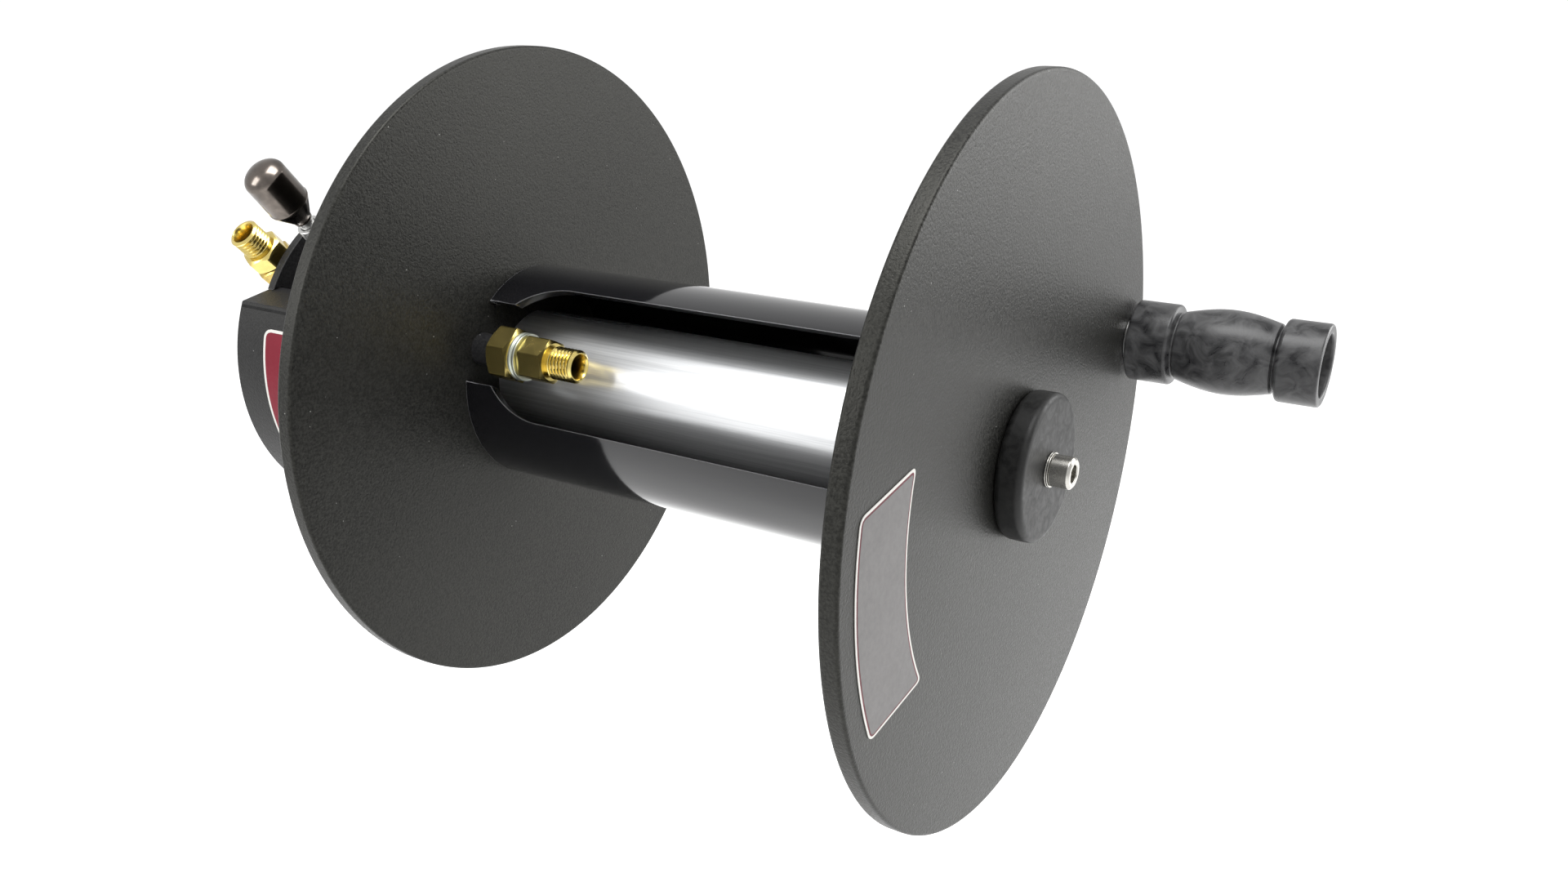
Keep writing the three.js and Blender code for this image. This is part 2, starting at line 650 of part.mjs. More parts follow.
function crankHandle() {
  const handle = new THREE.Group();
  handle.position.set(REEL_END, GRIP_Y, GRIP_Z);
  reel.add(handle);

  const nutEnd = -DISC_THICKNESS - GAP;
  const nutThickness = 5;
  const nutBore = ringOnX(nutEnd - 6, nutEnd + 1, GRIP_BOLT_RADIUS + CUT_GAP, 0, COARSE);
  add('grip_nut', cut(hexagonOnX(nutEnd - nutThickness, nutEnd, 17), nutBore), STEEL, handle);
  const washer = ringOnX(GAP, GRIP_START - 0.4, 12, GRIP_BOLT_RADIUS + CUT_GAP, COARSE);
  add('grip_washer', washer, STEEL, handle);

  const shoulder = GRIP_START - 0.3;
  const headStart = GRIP_END - 19;
  const headEnd = headStart + 6;
  const headRadius = 10.5;
  const boltProfile = [
    [nutEnd - nutThickness - 0.5, 0],
    [nutEnd - nutThickness - 0.5, GRIP_BOLT_RADIUS],
    [shoulder, GRIP_BOLT_RADIUS],
    [shoulder, GRIP_PIN_RADIUS],
    [headStart, GRIP_PIN_RADIUS],
    [headStart, headRadius],
    [headEnd - 0.6, headRadius],
    [headEnd, headRadius - 0.6],
    [headEnd, 0],
  ];
  const socket = hexagonOnX(headStart + 2, headStart + 8, 8, 0.2);
  add('grip_bolt', cut(turnedOnX(boltProfile, COARSE), socket), STEEL, handle);

  const sleeveEnd = headStart - 0.3;
  const sleeveBore = GRIP_PIN_RADIUS + RUNNING_GAP;
  add('grip_sleeve', ringOnX(GRIP_START, sleeveEnd, GRIP_BORE - GAP, sleeveBore, COARSE), BRONZE, handle);

  const collar = 20.6;
  const soft = 1.6;
  const neck = 16.2;
  const barrelEnd = 17.5;
  const barrelBulge = 3.8;
  const [barrelStart, barrelStop] = [27, 73.5];
  const profile = [
    [GRIP_START, GRIP_BORE],
    [GRIP_START, collar - soft],
    [GRIP_START + soft, collar],
    [barrelStart - 3.8, collar],
    [barrelStart - 2.4, collar - soft],
    [barrelStart - soft, neck],
    [barrelStart - 0.6, neck],
  ];
  const steps = 6;
  for (let i = 0; i <= steps; i += 1) {
    const t = i / steps;
    const along = barrelStart + t * (barrelStop - barrelStart);
    profile.push([along, barrelEnd + barrelBulge * Math.sin(Math.PI * t)]);
  }
  profile.push(
    [barrelStop + 0.6, neck],
    [barrelStop + soft, neck],
    [barrelStop + 2.6, collar - soft],
    [sleeveEnd - GAP, collar - GAP],
    [sleeveEnd - GAP, GRIP_BORE],
  );
  add('grip_handle', turnedOnX(profile), BLACK_PLASTIC, handle);

  const mouth = 15.6;
  const endProfile = [
    [sleeveEnd, mouth],
    [sleeveEnd, collar - GAP],
    [sleeveEnd + GAP, collar],
    [GRIP_END - soft, collar],
    [GRIP_END, collar - soft],
    [GRIP_END, mouth + 0.6],
    [GRIP_END - 1, mouth],
  ];
  add('grip_end_collar', turnedOnX(endProfile), BLACK_PLASTIC, handle);
}

// ---------------------------------------------------------------- inlet swivel

function inletSwivel() {
  const inlet = radialGroup(INLET_X, INLET_ANGLE);
  const bore = TAIL_RADIUS + RUNNING_GAP;
  const half = 11.6;
  const bodyRadius = 19;
  const seats = [-7.6, 7.6];
  const [sealDepth, waterDepth] = [2.6, 2];
  const block = turnedOnX([
    [-half, bore],
    [-half, bodyRadius],
    [half, bodyRadius],
    [half, bore],
    ...groove(seats[1] - 1.5, 3, bore, -sealDepth).reverse(),
    ...groove(-3, 6, bore, -waterDepth).reverse(),
    ...groove(seats[0] - 1.5, 3, bore, -sealDepth).reverse(),
  ]);
  const boss = ringOnY(bodyRadius - 4, 30, 12, 0, COARSE);
  const port = ringOnY(bodyRadius - 4, 31, THREAD_RADIUS + CUT_GAP, 0, COARSE);
  const step = ringOnY(TAIL_RADIUS, bodyRadius - 3, 3, 0, COARSE);
  const tube = cut(boss, ringOnX(-half, half, bodyRadius - 1));
  add('swivel_body', cut(join(block, tube), port, step), BRASS, inlet);

  seats.forEach((x, index) => {
    const seal = new THREE.TorusGeometry(bore + 1.3, 1.2, 6, COARSE);
    seal.rotateY(Math.PI / 2).translate(x, 0, 0);
    add(`swivel_seal_${index + 1}`, seal, BLACK_RUBBER, inlet);
  });

  const pipeStart = bodyRadius - 3.8;
  const pipeEnd = 64;
  add('inlet_pipe', ringOnY(pipeStart, pipeEnd, THREAD_RADIUS, WATERWAY, COARSE), BRASS, inlet);

  const turnUp = (geometry) => geometry.rotateZ(Math.PI / 2);
  const nutSpan = [pipeEnd - 8, 77.4];
  const nut = turnUp(hexagonOnX(...nutSpan, 22.2));
  const nutBore = ringOnY(nutSpan[0] - 1, nutSpan[1] + 1, THREAD_RADIUS + CUT_GAP, 0, COARSE);
  add('inlet_nut', cut(nut, nutBore), BRASS, inlet);

  const [hexStart, hexEnd] = [77.8, 87.6];
  const hexagon = turnUp(hexagonOnX(hexStart, hexEnd, FITTING_FLATS));
  const tail = ringOnY(pipeEnd + 1, hexStart + 1, THREAD_RADIUS, 0, COARSE);
  const spigot = turned(
    [
      [hexEnd - 1, 0],
      [hexEnd - 1, 7.4],
      [hexEnd + 1.4, 7.4],
      [hexEnd + 2.2, THREAD_RADIUS],
      [INLET_MOUTH - 1.2, THREAD_RADIUS - 0.2],
      [INLET_MOUTH, THREAD_RADIUS - 1.3],
      [INLET_MOUTH, 0],
    ],
    COARSE,
  );
  const mouth = turned(
    [
      [pipeEnd - 1, 0],
      [pipeEnd - 1, WATERWAY],
      [INLET_MOUTH - 3.4, WATERWAY],
      [INLET_MOUTH + 0.2, 5.8],
      [INLET_MOUTH + 0.2, 0],
    ],
    COARSE,
  );
  add('inlet_fitting', cut(join(hexagon, tail, spigot), mouth), BRASS, inlet);
}

// ---------------------------------------------------------------- drag brake

function brake() {
  const stand = radialGroup(BRAKE_X, BRAKE_ANGLE);
  const guideFoot = SLEEVE_RADIUS + CUT_GAP;
  add('brake_guide', ringOnY(guideFoot, BRAKE_GUIDE_TOP, 6.35, 4.3, COARSE), STEEL, stand);

  const padStart = AXLE_RADIUS + 1.3;
  add('brake_pad', ringOnY(padStart, padStart + 9, 3.9, 0, COARSE), BLACK_RUBBER, stand);

  const screwStart = padStart + 9.2;
  add('brake_screw', ringOnY(screwStart, KNOB_FOOT + 14, 4, 0, COARSE), STEEL, stand);

  const bodyStart = 121.8;
  const dome = 6.5;
  const knobProfile = [
    [KNOB_FOOT, 4 + GAP],
    [KNOB_FOOT, 4.6],
    [KNOB_FOOT + 1, 5.2],
    [bodyStart, KNOB_RADIUS],
    [bodyStart + 0.8, KNOB_RADIUS + 0.2],
    [KNOB_TIP - dome, KNOB_RADIUS],
  ];
  const steps = 4;
  for (let i = 1; i <= steps; i += 1) {
    const turn = (i / steps) * (Math.PI / 2);
    const radius = KNOB_RADIUS * Math.cos(turn);
    knobProfile.push([KNOB_TIP - dome + dome * Math.sin(turn), i === steps ? 0 : radius]);
  }
  knobProfile.push([KNOB_FOOT + 14.2, 0], [KNOB_FOOT + 14.2, 4 + GAP]);
  knobProfile.push(knobProfile[0]);
  add('brake_knob', turned(knobProfile, COARSE), POLISHED_STEEL, stand);
}

housing();
bushes();
housingLabel();
discs();
drum();
axle();
retainingRing('axle_ring', AXLE_RING_X, AXLE_RADIUS - 1.3, AXLE_RADIUS + 4);
retainingRing('swivel_ring', SWIVEL_RING_X, TAIL_RADIUS - 0.8, TAIL_RADIUS + 3);
hubBolts();
manifoldArm();
outlet();
frontEnd();
frontLabel();
crankHandle();
inletSwivel();
brake();

export default reel;
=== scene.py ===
"""The looks of a one-sided, hand-cranked hose reel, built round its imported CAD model.

X is the reel's axis, from the housing's back plate towards the crank handle, Z is up, and an angle
about X is measured from +Y towards +Z. Sizes are written in millimetres, and MM turns them into the
metres of the frame as each mesh is made.
"""

from math import acos, asin, cos, pi, radians, sin, sqrt, tau

import bmesh
import bpy
from mathutils import Matrix, Vector


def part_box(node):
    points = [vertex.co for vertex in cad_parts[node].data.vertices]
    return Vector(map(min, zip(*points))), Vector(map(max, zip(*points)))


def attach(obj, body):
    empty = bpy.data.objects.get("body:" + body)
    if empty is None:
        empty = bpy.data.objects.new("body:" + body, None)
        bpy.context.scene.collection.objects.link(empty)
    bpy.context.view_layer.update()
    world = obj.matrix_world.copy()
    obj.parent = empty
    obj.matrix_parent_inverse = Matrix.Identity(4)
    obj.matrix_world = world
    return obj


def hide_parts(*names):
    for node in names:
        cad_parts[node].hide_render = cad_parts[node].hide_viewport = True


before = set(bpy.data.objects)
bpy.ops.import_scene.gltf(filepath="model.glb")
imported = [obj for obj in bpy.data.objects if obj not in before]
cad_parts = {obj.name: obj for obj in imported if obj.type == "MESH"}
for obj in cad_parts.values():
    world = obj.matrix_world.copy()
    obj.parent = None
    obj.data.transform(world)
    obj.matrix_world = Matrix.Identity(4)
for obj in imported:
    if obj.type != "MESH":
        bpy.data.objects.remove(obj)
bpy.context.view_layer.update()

MM = 0.001


def span(node):
    """Where a CAD node starts and ends along the reel's axis."""
    low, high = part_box(node)
    return low.x / MM, high.x / MM


def radius_of(node):
    """The radius of a CAD node that is round about the reel's axis."""
    low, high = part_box(node)
    return (high.z - low.z) / 2 / MM


# ---------------------------------------------------------------- sizes that a node's box can't give

SLOT_ANGLE = radians(150)
SLOT_HALF_WIDTH = 34.5
SLOT_SETBACK = 9.4
SLOT_ROUNDING = 0.55
NECK_HALF_WIDTH = 21.5
DRUM_WALL = 5.6
HUB_WALL = 6.0
HUB_BOLT_CIRCLE = 21.5

OUTLET_ANGLE = radians(153.5)
OUTLET_OFFSET = 47.9
THREAD_RADIUS = 8.4
THREAD_PITCH = 2.1
THREAD_DEPTH = 1.3
COUPLING_FLATS = 25.4
FITTING_FLATS = 20.6
FITTING_GROOVE = 7.2
FITTING_MOUTH = 6.6
WATERWAY = 4.5

BAND_RADIUS = 97.0
BAND_WALL = 5.0
LIP_ANGLE = radians(156)
LIP_SLOPE = radians(9)
LIP_WIDTH = 23.7
CORNER = pi - LIP_ANGLE  # the +Y corner, where the band ends and its lip turns in
PLATE_TOP_RADIUS = 83.2
PLATE_BORE = 24.0
PLATE_BOLT_CIRCLE = 66.0
PLATE_BOLT_HOLE = 4.5
PLATE_BOLT_TURNS = (210, 250, 290, 330)
WEB_START, WEB_END = radians(185), radians(355)
HOUSING_LABEL_START, HOUSING_LABEL_END = radians(163), radians(214)
HOUSING_LABEL_CORNER = 5.0

INLET_X = -14.3
INLET_ANGLE = radians(135)
BRAKE_X = 35.6
BRAKE_ANGLE = radians(130.6)
GRIP_Y, GRIP_Z = 145.1, 24.4

FRONT_LABEL_INNER, FRONT_LABEL_OUTER = 115.0, 156.0
FRONT_LABEL_HALF_LENGTH = 48.5
FRONT_LABEL_CORNER = 4.0
FRONT_LABEL_TURN = radians(188)

SHARP_EDGE = radians(28)

# ---------------------------------------------------------------- meshes from outlines
# A shape is (points, faces), in millimetres.


def polar(radius, angle):
    """A point (y, z) from its distance and its angle from +Y towards +Z."""
    return radius * cos(angle), radius * sin(angle)


def arc(radius, start, end, steps, centre=(0, 0)):
    """Points along a round stretch, both ends included."""
    turns = [start + (end - start) * i / steps for i in range(steps + 1)]
    return [(centre[0] + radius * cos(a), centre[1] + radius * sin(a)) for a in turns]


def rounded_corner(start, corner, end, steps):
    """Points that lead round a corner, both ends included."""
    shares = [k / steps for k in range(steps + 1)]
    return [tuple(start * (1 - t) ** 2 + corner * (2 * t * (1 - t)) + end * t**2) for t in shares]


def soften(points, radius, closed=True, steps=4):
    """The same outline with its corners rounded."""
    made = []
    last = len(points) - 1
    for i, point in enumerate(points):
        here = Vector(point)
        if not closed and i in (0, last):
            made.append(point)
            continue
        back = Vector(points[i - 1]) - here
        ahead = Vector(points[(i + 1) % len(points)]) - here
        reach = min(radius, 0.48 * back.length, 0.48 * ahead.length)
        start = here + back.normalized() * reach
        end = here + ahead.normalized() * reach
        made += rounded_corner(start, here, end, steps)
    return made


def spun(profile_at, sides, start=0.0, sweep=tau, closed=True):
    """A profile of (along, radius) points turned round X. It may change with the angle."""
    whole = sweep >= tau
    rings = sides if whole else sides + 1
    count = len(profile_at(start))
    points = []
    for i in range(rings):
        angle = start + sweep * i / sides
        points += [(along, *polar(radius, angle)) for along, radius in profile_at(angle)]
    faces = []
    for i in range(sides):
        a, b = i * count, (i + 1) % rings * count
        for j in range(count if closed else count - 1):
            k = (j + 1) % count
            faces.append((a + j, a + k, b + k, b + j))
    if not whole:
        faces.append(tuple(range(count)))
        faces.append(tuple(range(len(points) - count, len(points))))
    return points, faces


def lathe(profile, soft, sides=96):
    """A profile turned round X, its corners rounded. It ends on the axis or closes into a ring."""
    closed = not (profile[0][1] == 0 and profile[-1][1] == 0)
    rounded = soften(profile, soft, closed)
    return spun(lambda angle: rounded, sides, closed=closed)


def ring(start, end, radius, bore=0.0, soft=0.5, sides=96):
    """A plain tube, or a plain rod when it has no bore."""
    profile = [(start, bore), (start, radius), (end, radius), (end, bore)]
    return lathe(profile, soft, sides)


def hexagon_radius(angle, flats):
    """How far a hexagon's side is from its centre, with the corners just taken off."""
    turn = (angle + pi / 6) % (pi / 3) - pi / 6
    return min(flats / 2 / cos(turn), flats / sqrt(3) - 0.25)


def hexagon(start, end, flats, bore, chamfer):
    """A hexagonal nut or body: its ends are coned, which leaves an arc on each flat."""
    face = flats / 2 - chamfer
    slope = 0.55

    def profile_at(angle):
        side = hexagon_radius(angle + pi / 6, flats)
        cone = (side - face) * slope
        return [
            (start, bore + 0.4),
            (start, face),
            (start + cone, side),
            (end - cone, side),
            (end, face),
            (end, bore + 0.4),
            (end - 0.4, bore),
            (start + 0.4, bore),
        ]

    return spun(profile_at, 144)


def socket_screw(start, head_start, head_end, shank, head, socket, depth):
    """A screw along X with a hexagonal socket in its far end."""
    body = [(start, 0), (start, shank - 0.5), (start + 0.5, shank), (head_start, shank)]
    top = [(head_start, head), (head_end - 0.9, head), (head_end, head - 1.1)]
    fixed = body + soften([body[-1], *top], 0.45, closed=False)

    def profile_at(angle):
        side = hexagon_radius(angle, socket)
        recess = [(head_end, side + 0.5), (head_end - 0.5, side), (head_end - depth, side)]
        return [*fixed, *recess, (head_end - depth - 1.5, 0)]

    return spun(profile_at, 144, closed=False)


def threaded(before, start, end, after):
    """A turned piece with a screw thread, shallower at its ends, between two plain profiles."""
    steps = round((end - start) / THREAD_PITCH * 8)

    def profile_at(angle):
        cut = []
        for i in range(steps + 1):
            along = start + (end - start) * i / steps
            place = (along / THREAD_PITCH - angle / tau) % 1
            edge = min(1, 1.1 * (along - start), 0.7 * (end - along))
            tooth = abs(2 * place - 1)
            cut.append((along, THREAD_RADIUS - THREAD_DEPTH * edge * min(1, 1.25 * tooth)))
        return [*before, *cut, *after]

    return spun(profile_at, 72)


def plate(outlines, start, end, bevel):
    """A flat plate across X from (y, z) outlines, the first its edge and the rest its holes."""
    curve = bpy.data.curves.new("outline", "CURVE")
    curve.dimensions = "2D"
    curve.fill_mode = "BOTH"
    for outline in outlines:
        spline = curve.splines.new("POLY")
        spline.points.add(len(outline) - 1)
        for point, (y, z) in zip(spline.points, outline):
            point.co = (y, z, 0, 1)
        spline.use_cyclic_u = True
    curve.extrude = (end - start) / 2 - bevel
    curve.bevel_depth = bevel
    curve.bevel_resolution = 2
    curve.offset = -bevel
    holder = bpy.data.objects.new("outline", curve)
    bpy.context.scene.collection.objects.link(holder)
    bpy.context.view_layer.update()
    made = bpy.data.meshes.new_from_object(holder.evaluated_get(bpy.context.evaluated_depsgraph_get()))
    middle = (start + end) / 2
    points = [(middle + v.co.z, v.co.x, v.co.y) for v in made.vertices]
    faces = [tuple(f.vertices) for f in made.polygons]
    bpy.data.objects.remove(holder)
    bpy.data.curves.remove(curve)
    bpy.data.meshes.remove(made)
    return points, faces


def joined(*shapes):
    """Several shapes as one."""
    points, faces = [], []
    for more_points, more_faces in shapes:
        base = len(points)
        points += more_points
        faces += [tuple(base + i for i in face) for face in more_faces]
    return points, faces


def moved(shape, matrix):
    """A shape carried by a matrix."""
    points, faces = shape
    return [tuple(matrix @ Vector(p)) for p in points], faces


def beside(shape, y, z):
    """A shape about X carried to an axis beside the reel's."""
    return moved(shape, Matrix.Translation((0, y, z)))


def radial(shape, x, angle):
    """A shape about X stood up on the reel's axis, so that it points out at an angle."""
    out = Vector((0, cos(angle), sin(angle)))
    across = Vector((0, -sin(angle), cos(angle)))
    turned = Matrix((out, across, (1, 0, 0))).transposed().to_4x4()
    return moved(shape, Matrix.Translation((x, 0, 0)) @ turned)


def piece(name, shape, material, body, nodes=()):
    """Makes the finished object: shaded, riding on a body and standing for CAD nodes."""
    points, faces = shape
    mesh = bpy.data.meshes.new(name)
    mesh.from_pydata([Vector(p) * MM for p in points], [], faces)
    work = bmesh.new()
    work.from_mesh(mesh)
    bmesh.ops.remove_doubles(work, verts=work.verts, dist=1e-6)
    bmesh.ops.dissolve_degenerate(work, edges=work.edges, dist=1e-7)
    bmesh.ops.recalc_face_normals(work, faces=work.faces)
    work.to_mesh(mesh)
    work.free()
    mesh.shade_smooth()
    mesh.set_sharp_from_angle(angle=SHARP_EDGE)
    mesh.materials.append(material)
    made = bpy.data.objects.new(name, mesh)
    bpy.context.scene.collection.objects.link(made)
    normals = made.modifiers.new("even_normals", "WEIGHTED_NORMAL")
    normals.keep_sharp = True
    normals.weight = 80
    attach(made, body)
    if nodes:
        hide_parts(*nodes)


# ---------------------------------------------------------------- materials


class Look:
    """A Principled material and short ways to add nodes to it."""

    def __init__(self, name, **sockets):
        self.material = bpy.data.materials.new(name)
        self.material.use_nodes = True
        self.nodes = self.material.node_tree.nodes
        self.links = self.material.node_tree.links
        self.shader = self.nodes["Principled BSDF"]
        for socket, value in sockets.items():
            self.shader.inputs[socket.replace("_", " ")].default_value = value
        self.place = self.nodes.new("ShaderNodeTexCoord").outputs["Object"]

    def link(self, source, target):
        self.links.new(source, target)

    def stretched(self, scale):
        mapping = self.nodes.new("ShaderNodeMapping")
        mapping.inputs["Scale"].default_value = scale
        self.link(self.place, mapping.inputs["Vector"])
        return mapping.outputs["Vector"]

    def noise(self, scale, detail=4.0, rough=0.55, stretch=None, swirl=0.0):
        """Noise with features about 1/scale metres across."""
        made = self.nodes.new("ShaderNodeTexNoise")
        made.inputs["Scale"].default_value = scale
        made.inputs["Detail"].default_value = detail
        made.inputs["Roughness"].default_value = rough
        made.inputs["Distortion"].default_value = swirl
        self.link(self.stretched(stretch) if stretch else self.place, made.inputs["Vector"])
        return made.outputs["Fac"]

    def cells(self, scale, feature="F1"):
        made = self.nodes.new("ShaderNodeTexVoronoi")
        made.feature = feature
        made.inputs["Scale"].default_value = scale
        self.link(self.place, made.inputs["Vector"])
        return made.outputs["Distance"]

    def ramp(self, factor, *stops):
        """Colours, or greys given as one number, at places along a factor."""
        made = self.nodes.new("ShaderNodeValToRGB")
        elements = made.color_ramp.elements
        while len(elements) < len(stops):
            elements.new(0.5)
        for element, (position, value) in zip(elements, stops):
            colour = value if isinstance(value, tuple) else (value,) * 3
            element.position = position
            element.color = (*colour, 1)
        self.link(factor, made.inputs["Fac"])
        return made.outputs["Color"]

    def mix(self, factor, first, second, kind="MIX"):
        made = self.nodes.new("ShaderNodeMix")
        made.data_type = "RGBA"
        made.blend_type = kind
        for socket, value in ((0, factor), (6, first), (7, second)):
            if isinstance(value, (int, float)):
                made.inputs[socket].default_value = value
            elif isinstance(value, tuple):
                made.inputs[socket].default_value = (*value, 1)
            else:
                self.link(value, made.inputs[socket])
        return made.outputs[2]

    def edges(self, radius):
        """White on outside edges, from how far a bevelled normal turns from the plain one."""
        bevel = self.nodes.new("ShaderNodeBevel")
        bevel.samples = 4
        bevel.inputs["Radius"].default_value = radius
        geometry = self.nodes.new("ShaderNodeNewGeometry")
        dot = self.nodes.new("ShaderNodeVectorMath")
        dot.operation = "DOT_PRODUCT"
        self.link(bevel.outputs["Normal"], dot.inputs[0])
        self.link(geometry.outputs["Normal"], dot.inputs[1])
        return self.ramp(dot.outputs["Value"], (0.80, 1.0), (0.99, 0.0))

    def bump(self, height, strength, distance, under=None):
        made = self.nodes.new("ShaderNodeBump")
        made.inputs["Strength"].default_value = strength
        made.inputs["Distance"].default_value = distance
        self.link(height, made.inputs["Height"])
        if under is not None:
            self.link(under, made.inputs["Normal"])
        return made.outputs["Normal"]

    def colour(self, value):
        self.link(value, self.shader.inputs["Base Color"])

    def roughness(self, value):
        self.link(value, self.shader.inputs["Roughness"])

    def normal(self, value):
        self.link(value, self.shader.inputs["Normal"])


def wrinkle_coat(name, dark, light, rough=0.42):
    """Fine wrinkled powder coat: grains about a millimetre across, painted glints on some grains, and a
    painted highlight along the edges.
    """
    look = Look(name, IOR=1.28, Specular_Tint=(1, 0.99, 0.90, 1))
    grain = look.noise(850, 3, 0.65)
    patches = look.noise(9, 3, 0.5)
    body = look.ramp(grain, (0.38, dark), (0.64, light))
    aged = look.mix(look.ramp(patches, (0.35, 0.0), (0.7, 0.35)), body, light)
    # Pale dots in loose patches: painted glints on the wrinkle's grains.
    glint_dots = look.ramp(look.cells(210), (0.035, 1.0), (0.07, 0.0))
    glint_patches = look.ramp(look.noise(60, 1), (0.60, 0.0), (0.66, 0.7))
    with_glints = look.mix(look.mix(1.0, glint_dots, glint_patches, "MULTIPLY"), aged, (0.42, 0.42, 0.40))
    # Edges painted pale: a painted highlight.
    look.colour(look.mix(look.edges(0.0006), with_glints, tuple(min(1, 3 * c + 0.02) for c in light)))
    look.roughness(look.ramp(grain, (0.3, rough - 0.06), (0.7, rough + 0.12)))
    folds = look.bump(look.cells(900, "SMOOTH_F1"), 0.35, 0.0002)
    look.normal(look.bump(grain, 0.7, 0.0003, folds))
    return look.material


def gloss_black():
    """The drum: black, polished and coated, with faint wipe marks and a painted highlight on its cut
    edges.
    """
    look = Look("gloss_black", IOR=1.42, Coat_Weight=0.25, Coat_Roughness=0.04)
    smears = look.noise(26, 5, 0.6, (0.25, 1, 1))
    body = look.ramp(smears, (0.3, (0.003, 0.003, 0.004)), (0.8, (0.007, 0.007, 0.008)))
    # Cut edges painted pale: a painted highlight along the slot's rims.
    look.colour(look.mix(look.edges(0.0006), body, (0.22, 0.22, 0.23)))
    look.roughness(look.ramp(smears, (0.3, 0.05), (0.75, 0.12)))
    look.normal(look.bump(look.noise(38, 2), 0.03, 0.0006))
    return look.material


def drawn_aluminium():
    """Bare tube: fine lines along its length and a little haze."""
    look = Look("drawn_aluminium", Metallic=0.8)
    lines = look.noise(700, 4, 0.6, (0.012, 1, 1))
    haze = look.noise(14, 1, 0.4, (0.3, 1, 1))
    tint = look.ramp(haze, (0.3, (0.66, 0.67, 0.68)), (0.75, (0.84, 0.85, 0.86)))
    look.colour(look.mix(look.ramp(lines, (0.42, 0.0), (0.7, 0.5)), tint, (0.46, 0.47, 0.48)))
    look.roughness(look.ramp(haze, (0.25, 0.22), (0.8, 0.36)))
    look.normal(look.bump(lines, 0.16, 0.00008))
    return look.material


def turned_metal(name, colour, dull, rough, lines=900, tarnish=0.35):
    """Machined metal: turning marks across its axis, and duller patches of tarnish."""
    look = Look(name, Metallic=1.0)
    marks = look.noise(lines, 3, 0.6, (1, 0.06, 0.06))
    patches = look.noise(120, 5, 0.65)
    worn = look.ramp(patches, (0.42, 0.0), (0.72, tarnish))
    look.colour(look.mix(look.edges(0.0004), look.mix(worn, colour, dull), colour))
    look.roughness(look.ramp(patches, (0.3, rough), (0.8, rough + 0.16)))
    look.normal(look.bump(marks, 0.12, 0.00006))
    return look.material


def moulded_plastic(name, dark, light, rough, mottle):
    """Moulded black plastic with a cloudy sheen and a fine grain."""
    look = Look(name, IOR=1.36)
    clouds = look.noise(mottle, 4, 0.6, swirl=1.0)
    look.colour(look.ramp(clouds, (0.36, dark), (0.68, light)))
    look.roughness(look.ramp(clouds, (0.35, rough), (0.7, rough + 0.18)))
    look.normal(look.bump(look.noise(1300, 3, 0.6), 0.22, 0.00012))
    return look.material


def printed_film(name, colour, shade):
    """A printed sticker: ink that fades in soft patches, on a slightly uneven surface."""
    look = Look(name, IOR=1.3)
    gloss = look.noise(420, 3, 0.6)
    fade = look.noise(30, 3)
    look.colour(look.mix(look.ramp(fade, (0.35, 0.0), (0.75, 0.5)), colour, shade))
    look.roughness(look.ramp(gloss, (0.3, 0.4), (0.7, 0.55)))
    look.normal(look.bump(look.noise(70, 2), 0.08, 0.0003))
    return look.material


def soft_rubber():
    look = Look("soft_rubber", IOR=1.5)
    grain = look.noise(800, 4)
    look.colour(look.ramp(grain, (0.3, (0.014, 0.014, 0.014)), (0.8, (0.04, 0.04, 0.04))))
    look.roughness(look.ramp(grain, (0.3, 0.7), (0.8, 0.9)))
    look.normal(look.bump(grain, 0.3, 0.0001))
    return look.material


DISC_COAT = wrinkle_coat("disc_coat", (0.003, 0.003, 0.003), (0.020, 0.020, 0.0182), 0.34)
HOUSING_COAT = wrinkle_coat("housing_coat", (0.006, 0.006, 0.007), (0.020, 0.020, 0.021))
GLOSS_BLACK = gloss_black()
ALUMINIUM = drawn_aluminium()
BRASS = turned_metal("bright_brass", (0.70, 0.56, 0.19), (0.42, 0.32, 0.10), 0.16)
# A darker copy of the brass for the inlet's nut: painted shade, where the nut sits in shadow behind the
# plate's edge, with heavier tarnish patches.
SHADED_BRASS = turned_metal("brass_painted_shade", (0.52, 0.39, 0.12), (0.28, 0.20, 0.07), 0.2, tarnish=0.6)
BRONZE = turned_metal("bronze", (0.50, 0.34, 0.18), (0.25, 0.17, 0.1), 0.32)
STEEL = turned_metal("bright_steel", (0.58, 0.58, 0.57), (0.34, 0.33, 0.32), 0.24)
STAINLESS = turned_metal("stainless", (0.46, 0.45, 0.42), (0.26, 0.25, 0.23), 0.2, 1500, 0.6)
# The knob's polished steel made dark: a painted dark reflection of the dark surroundings, with heavy
# tarnish patches.
KNOB_STEEL_PAINTED_DARK = turned_metal("knob_steel_painted_dark_reflection", (0.15, 0.13, 0.115), (0.07, 0.062, 0.055), 0.15, 1500, 0.9)
ZINC = turned_metal("zinc", (0.66, 0.70, 0.62), (0.44, 0.47, 0.42), 0.34)
GRIP_PLASTIC = moulded_plastic("grip_plastic", (0.012, 0.012, 0.013), (0.072, 0.072, 0.073), 0.26, 95)
PUCK_PLASTIC = moulded_plastic("puck_plastic", (0.004, 0.004, 0.004), (0.012, 0.012, 0.0115), 0.42, 200)
RUBBER = soft_rubber()
